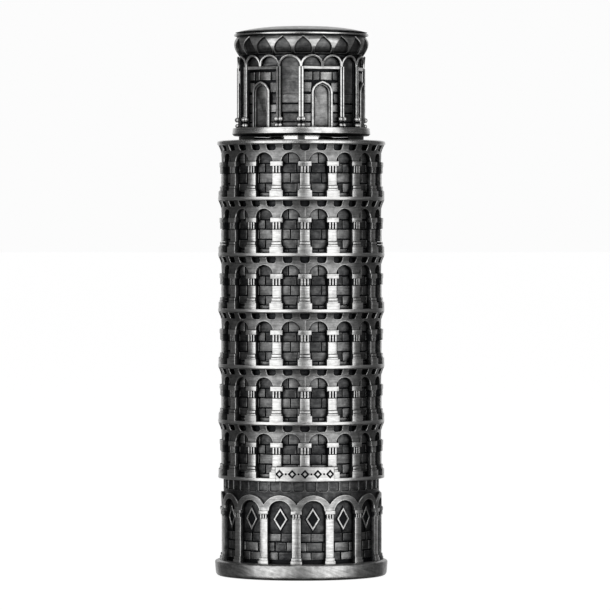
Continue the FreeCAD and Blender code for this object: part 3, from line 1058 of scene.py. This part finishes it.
def stroke_coordinates(tree, fine, coarse, slant=0.0):
    """Coordinates whose noise makes brush strokes that run round the axis: fine per millimetre across the
    strokes, coarse per millimetre along them, leaning by a slope of slant. The radius counts as height, so
    the strokes turn into rings on a level face."""
    place = tree.nodes.new("ShaderNodeTexCoord")
    split = add_node(tree, "ShaderNodeSeparateXYZ", links={0: place.outputs["Object"]})
    x, y, z = split
    flat = add_node(tree, "ShaderNodeCombineXYZ", links={"X": x, "Y": y})
    radius = add_node(tree, "ShaderNodeVectorMath", {"operation": "LENGTH"}, links={0: flat[0]})
    rise = add_node(tree, "ShaderNodeMath", {"operation": "ADD"}, links={0: z, 1: radius["Value"]})
    lean = add_node(
        tree, "ShaderNodeMath", {"operation": "MULTIPLY_ADD"}, {1: slant}, {0: x, 2: rise[0]}
    )
    joined = add_node(tree, "ShaderNodeCombineXYZ", links={"X": x, "Y": y, "Z": lean[0]})
    scale = (coarse / MM, coarse / MM, fine / MM)
    scaled = add_node(
        tree, "ShaderNodeVectorMath", {"operation": "MULTIPLY"}, {1: scale}, {0: joined[0]}
    )
    return scaled[0], place.outputs["Object"]


# Inputs of a Map Range node, and the noises that the finishes share. Real brush lines are about 0.03 mm wide
# and the cast skin's grains about 0.05 mm. Both are too fine to show, so they are drawn coarser: strokes
# about 0.3 mm wide, as set by each finish's fine value, and grains of 0.24 mm. Blotches of worn plating are
# about 1.2 mm across, as on the real metal.
RANGE = ("From Min", "From Max", "To Min", "To Max")
STROKES = {"Scale": 1.0, "Detail": 4.0, "Roughness": 0.65}
GRAIN = {"Scale": 4.2 / MM, "Detail": 3.0, "Roughness": 0.6}
BLOTCHES = {"Scale": 0.85 / MM, "Detail": 4.0, "Roughness": 0.65}
TOOL_MARKS = {"Scale": 1.0, "Detail": 4.0, "Roughness": 0.6}


def antiqued(name, finish, brush=0.5, fine=3.2, coarse=0.35, slant=0.0, gloss=0.24):
    """Antiqued silver plate on a zinc casting: dark plating stays in the recesses, the raised faces are
    brushed back to bright metal with fine strokes round the tower, and the edges are rubbed brightest.
    An ambient occlusion mask darkens the colour in corners and crevices as well: the real patina there, and
    painted shade. The wear attribute also brings painted shade on some turned rings."""
    material, tree, shader = new_material(name)
    strokes_at, place = stroke_coordinates(tree, fine, coarse, slant)
    strokes = add_node(tree, "ShaderNodeTexNoise", None, STROKES, {"Vector": strokes_at})["Fac"]
    grain = add_node(tree, "ShaderNodeTexNoise", None, GRAIN, {"Vector": place})["Fac"]
    blotches = add_node(tree, "ShaderNodeTexNoise", None, BLOTCHES, {"Vector": place})["Fac"]
    # The wear attribute: real wear and, on some turned rings, painted shade.
    wear_and_shade = add_node(tree, "ShaderNodeAttribute", {"attribute_name": "wear_and_shade"})["Fac"]
    # Ambient occlusion darkens the colour in corners and crevices: partly patina, partly painted shade.
    crevice_shade = add_node(tree, "ShaderNodeAmbientOcclusion", {"samples": 6}, {"Distance": 0.8 * MM})
    span = dict(zip(RANGE, (0.2, 0.8, 0.45, 1.0)))
    clear_of_patina_and_shade = add_node(tree, "ShaderNodeMapRange", None, span, {"Value": crevice_shade["AO"]})
    span = dict(zip(RANGE, (0.3, 0.7, -0.16, 0.12)))
    rub = add_node(tree, "ShaderNodeMapRange", None, span, {"Value": blotches})
    rubbed_and_shaded = add_node(tree, "ShaderNodeMath", {"operation": "ADD"}, links={0: wear_and_shade, 1: rub[0]})
    clamped = {"operation": "MULTIPLY", "use_clamp": True}
    both = {0: rubbed_and_shaded[0], 1: clear_of_patina_and_shade[0]}
    bright = add_node(tree, "ShaderNodeMath", clamped, None, both)[0]
    share = add_node(tree, "ShaderNodeMath", {"operation": "POWER"}, {1: 2.1}, {0: bright})[0]
    ends = {6: (*finish.patina, 1.0), 7: (*finish.silver, 1.0)}
    colour = add_node(tree, "ShaderNodeMix", {"data_type": "RGBA"}, ends, {0: share})
    span = dict(zip(RANGE, (0.32, 0.68, 0.6, 1.1)))
    streak = add_node(tree, "ShaderNodeMapRange", None, span, {"Value": strokes})
    shaded = {0: colour[2], "Scale": streak[0]}
    tinted = add_node(tree, "ShaderNodeVectorMath", {"operation": "SCALE"}, None, shaded)
    span = {"To Min": gloss + 0.20, "To Max": gloss}
    rough = add_node(tree, "ShaderNodeMapRange", None, span, {"Value": bright})
    sum_of = {"operation": "MULTIPLY_ADD"}
    scratch = add_node(tree, "ShaderNodeMath", sum_of, {1: 0.14}, {0: strokes, 2: rough[0]})
    blend = {0: bright, 2: grain, 3: strokes}
    surface = add_node(tree, "ShaderNodeMix", {"data_type": "FLOAT"}, None, blend)
    depth = {"Strength": brush, "Distance": 0.04 * MM}
    bump = add_node(tree, "ShaderNodeBump", None, depth, {"Height": surface[0]})
    links = {"Base Color": tinted[0], "Roughness": scratch[0], "Normal": bump[0]}
    feed(tree, shader, {"Metallic": 1.0}, links)
    return material


def plain_metal(name, colour, roughness, fine):
    """Turned or plated steel: fine tool marks round the axis vary the roughness a little. Real marks are
    about 0.05 mm apart; here they are 0.15 to 0.5 mm, as coarse as they need to show."""
    material, tree, shader = new_material(name)
    place = stroke_coordinates(tree, fine, 0.15)[0]
    marks = add_node(tree, "ShaderNodeTexNoise", None, TOOL_MARKS, {"Vector": place})["Fac"]
    span = {"To Min": roughness * 0.7, "To Max": roughness * 1.4}
    rough = add_node(tree, "ShaderNodeMapRange", None, span, {"Value": marks})
    depth = {"Strength": 0.15, "Distance": 0.02 * MM}
    bump = add_node(tree, "ShaderNodeBump", None, depth, {"Height": marks})
    links = {"Roughness": rough[0], "Normal": bump[0]}
    feed(tree, shader, {"Base Color": (*colour, 1.0), "Metallic": 1.0}, links)
    return material


def fibrous(name, colour, scale, roughness, sheen):
    """Felt or rubber: dull, with a fine irregular surface of so many grains to the millimetre. Real fibres
    are about 0.02 mm thick, and are drawn coarser so that they show."""
    material, tree, shader = new_material(name)
    place = tree.nodes.new("ShaderNodeTexCoord").outputs["Object"]
    noise = {"Scale": scale / MM, "Detail": 5.0, "Roughness": 0.7}
    fibres = add_node(tree, "ShaderNodeTexNoise", None, noise, {"Vector": place})["Fac"]
    span = dict(zip(RANGE, (0.3, 0.7, 0.6, 1.5)))
    shade = add_node(tree, "ShaderNodeMapRange", None, span, {"Value": fibres})
    scaled = {"Scale": shade[0]}
    base = add_node(tree, "ShaderNodeVectorMath", {"operation": "SCALE"}, {0: colour}, scaled)
    depth = {"Strength": 0.6, "Distance": 0.08 * MM}
    bump = add_node(tree, "ShaderNodeBump", None, depth, {"Height": fibres})
    links = {"Base Color": base[0], "Normal": bump[0]}
    feed(tree, shader, {"Roughness": roughness, "Sheen Weight": sheen}, links)
    return material


def dress(node, material):
    """Gives a carried-over CAD node its finish."""
    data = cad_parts[node].data
    data.materials.clear()
    data.materials.append(material)


# ---------------------------------------------------------------- operators


class TOWER_OT_ground(bpy.types.Operator):
    """Builds the ground storey with its blind arches"""

    bl_idname = "tower.ground"
    bl_label = "Ground storey"

    def execute(self, context):
        silver = antiqued("Antiqued silver, ground storey", context.scene.tower_finish)
        meshes = ground_meshes(context.scene.tower_sizes, silver)
        piece("ground_storey", meshes, silver, "tower")
        return {"FINISHED"}


class TOWER_OT_galleries(bpy.types.Operator):
    """Builds the arcade galleries, one casting repeated up the tower"""

    bl_idname = "tower.galleries"
    bl_label = "Galleries"

    def execute(self, context):
        silver = antiqued("Antiqued silver, galleries", context.scene.tower_finish)
        meshes = gallery_meshes(context.scene.tower_sizes, silver)
        first = piece("gallery_1", meshes, silver, "tower")
        plain = first.data.copy()
        first.data.transform(raised(low("gallery_1")))
        for k in range(2, 7):
            node = "gallery_%d" % k
            data = plain.copy()
            data.transform(raised(low(node)))
            other = bpy.data.objects.new(node + "_relief", data)
            context.scene.collection.objects.link(other)
            carry(other, node, "tower")
        return {"FINISHED"}


def raised(height):
    return Matrix.Translation((0, 0, height * MM))


class TOWER_OT_plaque(bpy.types.Operator):
    """Builds the ornamental plate on the lowest gallery"""

    bl_idname = "tower.plaque"
    bl_label = "Plaque"

    def execute(self, context):
        silver = antiqued("Brushed silver, plaque", context.scene.tower_finish)
        piece("front_plaque", [plaque_mesh()], silver, "tower")
        return {"FINISHED"}


class TOWER_OT_rings(bpy.types.Operator):
    """Builds the turned rings: foot, deck, belfry floor and roof"""

    bl_idname = "tower.rings"
    bl_label = "Turned rings"

    def execute(self, context):
        finish = context.scene.tower_finish
        foot_silver = antiqued("Hand-brushed silver, foot", finish, 0.7, 2.2, 0.3, 0.35, 0.26)
        fine_silver = antiqued("Brushed silver, rings", finish, 0.4, 4.0, 0.25, 0.0, 0.20)
        rings = (
            ("base_ring", rounded(foot_profile(), 0.1, 5), foot_wear, foot_silver, "tower"),
            ("top_deck", rounded(deck_profile(), 0.1, 8), deck_wear_and_shade, fine_silver, "tower"),
            ("belfry_floor", rounded(floor_profile(), 0.1, 4), floor_wear_and_shade, fine_silver, "belfry"),
            ("belfry_roof", rounded(roof_profile(), 0.1, 4), roof_wear_and_shade, fine_silver, "belfry"),
        )
        for node, profile, wear_and_shade, silver, body in rings:
            piece(node, [turned(profile, wear_and_shade)], silver, body)
        return {"FINISHED"}


def foot_profile():
    """Foot ring: rounded at the floor, with a step inside for the base plate."""
    outside = [(FOOT_R - 0.2, 0.0, 0.8), (FOOT_R, FOOT_TOP - 0.25, 0.25), (BAND_R, FOOT_TOP, 0.1)]
    step = [(FOOT_BORE_R, FOOT_TOP, 0), (FOOT_BORE_R, FOOT_PLATE_TOP, 0), (FOOT_PLATE_R, FOOT_PLATE_TOP, 0)]
    return [(FOOT_PLATE_R, 0.0, 0)] + outside + step


def foot_wear(radius, _):
    return 0.88 if radius > 15.0 else 0.0


def deck_profile():
    bore = TUBE_R + 0.05
    rim = DECK_R - 0.02
    return [(bore, DECK_LOW, 0), (DECK_R, DECK_LOW, 0.12), (rim, DECK_TOP - 0.05, 1.0), (bore, DECK_TOP, 0)]


# Inside 11 mm the deck lies under the belfry floor and is painted darker: painted shade under the floor.
def deck_wear_and_shade(radius, _):
    return 1.0 if radius > 11.0 else 0.6


def floor_profile():
    """Belfry floor: a brushed ring, with a hub that stands up inside the drum."""
    rim = CAP_RING_R
    step = CAP_LOW + 0.7
    ring = [(HUB_MOUTH_R, CAP_LOW, 0), (rim - 0.3, CAP_LOW, 0.08), (rim, CAP_LOW + 0.32, 0.1)]
    ring += [(rim - 0.15, DRUM_LOW, 0.12)]
    hub = [(HUB_R, DRUM_LOW, 0), (HUB_R, HUB_TOP, 0), (HUB_BORE_R, HUB_TOP, 0)]
    return ring + hub + [(HUB_BORE_R, step, 0), (HUB_MOUTH_R, step, 0)]


# The ring's underside and its lower chamfer get a low value: painted shade under the ring. The hub stays
# dark.
def floor_wear_and_shade(radius, height):
    return 1.0 if radius > 11.8 and height > CAP_LOW + 0.3 else 0.1


def roof_profile():
    """Shallow dome over a thin lip, with a narrow groove above and below the lip."""
    spigot = DRUM_IN_R - 0.05
    groove_r = LIP_R - 0.6
    dome_r = LIP_R - 0.22
    base = ROOF_LOW - 0.02
    steps = 24
    dome = []
    for k in range(steps + 1):
        t = 1 - k / steps
        dome.append((dome_r * t, ROOF_TOP - (ROOF_TOP - DOME_LOW) * t ** 3, 0))
    plug = [(0.0, SPIGOT_LOW, 0), (spigot, SPIGOT_LOW, 0), (spigot, base, 0), (groove_r, base, 0)]
    lip = [(groove_r, LIP_LOW, 0.03), (LIP_R, LIP_LOW, 0.08), (LIP_R, LIP_TOP, 0.1)]
    return plug + lip + [(groove_r, LIP_TOP, 0.03), (groove_r, DOME_LOW - 0.02, 0.03)] + dome


def roof_wear_and_shade(radius, height):
    """Lip and dome are brushed bright, the two grooves stay dark: dark plating in them, and painted shade
    under the lip and under the dome's edge.
    """
    if height > DOME_LOW + 0.2:
        return 0.85
    return 1.05 if radius > LIP_R - 0.2 and height < LIP_TOP + 0.01 else 0.0


class TOWER_OT_belfry(bpy.types.Operator):
    """Builds the belfry wall and its cornice"""

    bl_idname = "tower.belfry"
    bl_label = "Belfry"

    def execute(self, context):
        sizes = context.scene.tower_sizes
        finish = context.scene.tower_finish
        silver = antiqued("Antiqued silver, belfry wall", finish)
        piece("belfry_drum", drum_meshes(sizes, silver), silver, "belfry")
        silver = antiqued("Antiqued silver, cornice", finish)
        piece("belfry_cornice", cornice_meshes(sizes, silver), silver, "belfry")
        return {"FINISHED"}


class TOWER_OT_fittings(bpy.types.Operator):
    """Finishes the neck, the tube and the hidden fittings"""

    bl_idname = "tower.fittings"
    bl_label = "Fittings"

    def execute(self, context):
        finish = context.scene.tower_finish
        steel = plain_metal("Polished steel, neck", finish.steel, 0.10, 6.0)
        zinc = plain_metal("Zinc-plated steel", finish.zinc, 0.35, 2.0)
        felt = fibrous("Pressed felt", finish.felt, 2.5, 0.95, 0.4)
        rubber = fibrous("Moulded rubber", finish.rubber, 4.0, 0.6, 0.0)
        hidden = ("base_plate", "base_screws", "tube_plug", "cap_liner", "liner_clip")
        nodes = ((steel, ("core_tube", "neck_collar")), (zinc, hidden), (felt, ("felt_pad",)))
        for material, names in nodes + ((rubber, ("grip_ring", "rest_pads")),):
            for node in names:
                dress(node, material)
        return {"FINISHED"}


class TOWER_OT_stage(bpy.types.Operator):
    """Makes the pale floor, the studio light and the camera"""

    bl_idname = "tower.stage"
    bl_label = "Stage"

    def execute(self, context):
        scene = context.scene
        paper = scene.tower_finish.paper
        material, tree, shader = new_material("Pale paper")
        glow = {"Emission Color": (*paper, 1.0), "Emission Strength": 0.98}
        feed(tree, shader, {"Base Color": (0.1, 0.1, 0.1, 1.0), "Roughness": 0.9, **glow}, {})
        bpy.ops.mesh.primitive_plane_add(size=FLOOR_SIZE, location=(0, 0, -0.1 * MM))
        floor = context.object
        floor.name = "floor"
        floor.data.materials.append(material)
        floor.visible_glossy = False
        camera_data = bpy.data.cameras.new("camera")
        camera_data.lens = LENS
        camera_data.sensor_width = SENSOR
        camera_data.clip_start = 0.01
        camera = bpy.data.objects.new("camera", camera_data)
        place_facing(camera, HEADING, CAMERA_AWAY, CAMERA_HEIGHT, AIM)
        scene.collection.objects.link(camera)
        scene.camera = camera
        for name, side in (("left softbox", -1), ("right softbox", 1)):
            softbox(scene, name, HEADING + side * math.radians(40.5), 0.10, 0.6, (0.62, 0.9), 1.7)
        softbox(scene, "top softbox", HEADING, 1.2, 0.25, (0.8, 0.8), 1.0)
        studio_world(scene)
        scene.view_settings.view_transform = "Standard"
        return {"FINISHED"}


def softbox(scene, name, bearing, height, away, size, radiance):
    """Rectangular light that faces the tower; bearing 0 is in front of it."""
    data = bpy.data.lights.new(name, "AREA")
    data.shape = "RECTANGLE"
    data.size = size[0]
    data.size_y = size[1]
    data.energy = radiance * math.pi * size[0] * size[1]
    light = bpy.data.objects.new(name, data)
    place_facing(light, bearing, away, height, Vector((0, 0, 0.05)))
    scene.collection.objects.link(light)


def place_facing(item, bearing, away, height, target):
    """Stands a camera or a light at a bearing from the tower, looking at the target."""
    item.location = (math.sin(bearing) * away, -math.cos(bearing) * away, height)
    item.rotation_euler = (target - item.location).to_track_quat("-Z", "Y").to_euler()


def studio_world(scene):
    """White behind the tower and dim elsewhere: the metal's sides fall dark, its outline stays light."""
    world = bpy.data.worlds.new("studio")
    scene.world = world
    world.use_nodes = True
    tree = world.node_tree
    tree.nodes.clear()
    place = tree.nodes.new("ShaderNodeTexCoord")
    behind = add_node(
        tree,
        "ShaderNodeVectorMath",
        {"operation": "DOT_PRODUCT"},
        {1: (-math.sin(HEADING), math.cos(HEADING), 0.0)},
        {0: place.outputs["Generated"]},
    )
    card = add_node(
        tree,
        "ShaderNodeMapRange",
        values={"From Min": 0.78, "From Max": 0.93, "To Min": 0.09, "To Max": 0.9},
        links={"Value": behind["Value"]},
    )
    seen = tree.nodes.new("ShaderNodeLightPath")
    level = add_node(
        tree,
        "ShaderNodeMix",
        {"data_type": "FLOAT"},
        {3: 1.0},
        {0: seen.outputs["Is Camera Ray"], 2: card[0]},
    )
    white = {"Color": (*scene.tower_finish.paper, 1.0)}
    glow = add_node(tree, "ShaderNodeBackground", None, white, {"Strength": level[0]})
    out = tree.nodes.new("ShaderNodeOutputWorld")
    feed(tree, out, {}, {0: glow[0]})


class TOWER_PT_panel(bpy.types.Panel):
    """Sizes, finishes and the steps that build the tower"""

    bl_idname = "TOWER_PT_panel"
    bl_label = "Bell tower"
    bl_space_type = "VIEW_3D"
    bl_region_type = "UI"
    bl_category = "Tower"

    def draw(self, context):
        for group in (context.scene.tower_sizes, context.scene.tower_finish):
            for name in group.bl_rna.properties.keys():
                if name not in ("rna_type", "name"):
                    self.layout.prop(group, name)
        for operator in OPERATORS:
            self.layout.operator(operator.bl_idname)


OPERATORS = (
    TOWER_OT_stage,
    TOWER_OT_ground,
    TOWER_OT_galleries,
    TOWER_OT_plaque,
    TOWER_OT_rings,
    TOWER_OT_belfry,
    TOWER_OT_fittings,
)
CLASSES = (TowerSizes, TowerFinish, TOWER_PT_panel) + OPERATORS


def register():
    for cls in CLASSES:
        bpy.utils.register_class(cls)
    bpy.types.Scene.tower_sizes = bpy.props.PointerProperty(type=TowerSizes)
    bpy.types.Scene.tower_finish = bpy.props.PointerProperty(type=TowerFinish)


def unregister():
    del bpy.types.Scene.tower_sizes
    del bpy.types.Scene.tower_finish
    for cls in reversed(CLASSES):
        bpy.utils.unregister_class(cls)


def main():
    register()
    for operator in OPERATORS:
        getattr(bpy.ops.tower, operator.bl_idname.split(".")[1])()


if __name__ == "__main__":
    main()
